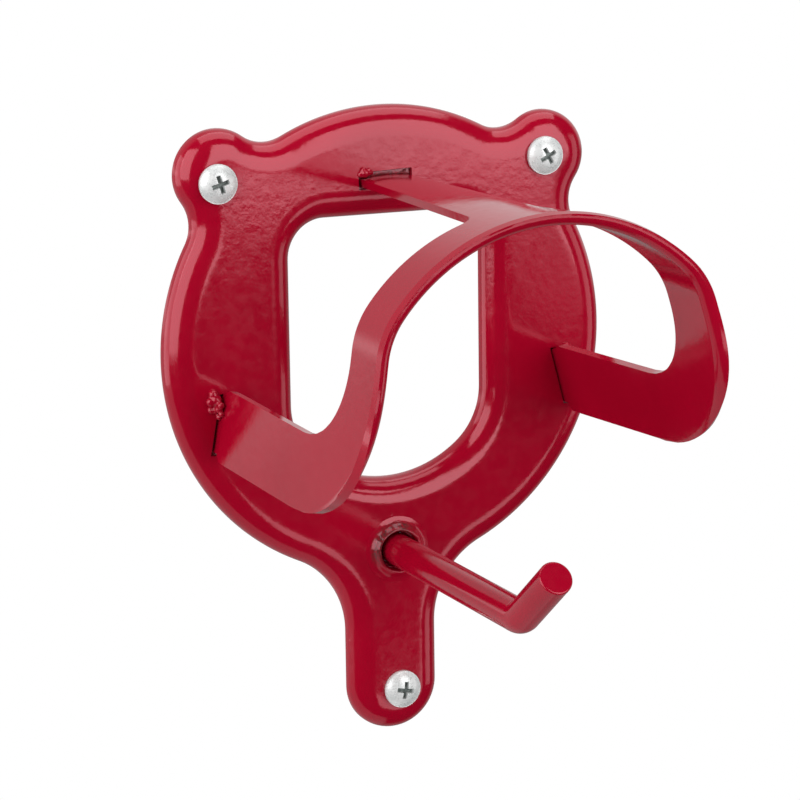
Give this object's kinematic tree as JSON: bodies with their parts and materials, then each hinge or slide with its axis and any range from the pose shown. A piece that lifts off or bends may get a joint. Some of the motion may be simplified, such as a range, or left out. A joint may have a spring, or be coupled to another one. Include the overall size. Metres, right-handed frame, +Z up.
{
  "type": "bridle rack",
  "caption": "Powder-coated wall rack for a bridle: dished round plate with ears and a tongue, arched head support with a rolled lip, upturned rein hook bar and wall screws.",
  "frame": {"origin": "centre of the round plate on the wall plane, which is the back of the plate's rim", "axes": "+X to the right seen from the front, +Z up, +Y into the wall, so the front faces -Y"},
  "size_m": [0.1168, 0.1138, 0.1576],
  "materials": {
    "red_coat": "glossy powder coat with fine orange peel on steel",
    "zinc_plate": "bright zinc plate on steel"
  },
  "bodies": {
    "root": {"backplate": "red_coat", "head_support": "red_coat", "rein_hook": "red_coat", "weld_left": "red_coat", "weld_right": "red_coat", "weld_top": "red_coat", "weld_hook": "red_coat", "screw_top_left": "zinc_plate", "screw_top_right": "zinc_plate", "screw_bottom": "zinc_plate"}
  },
  "joints": []
}
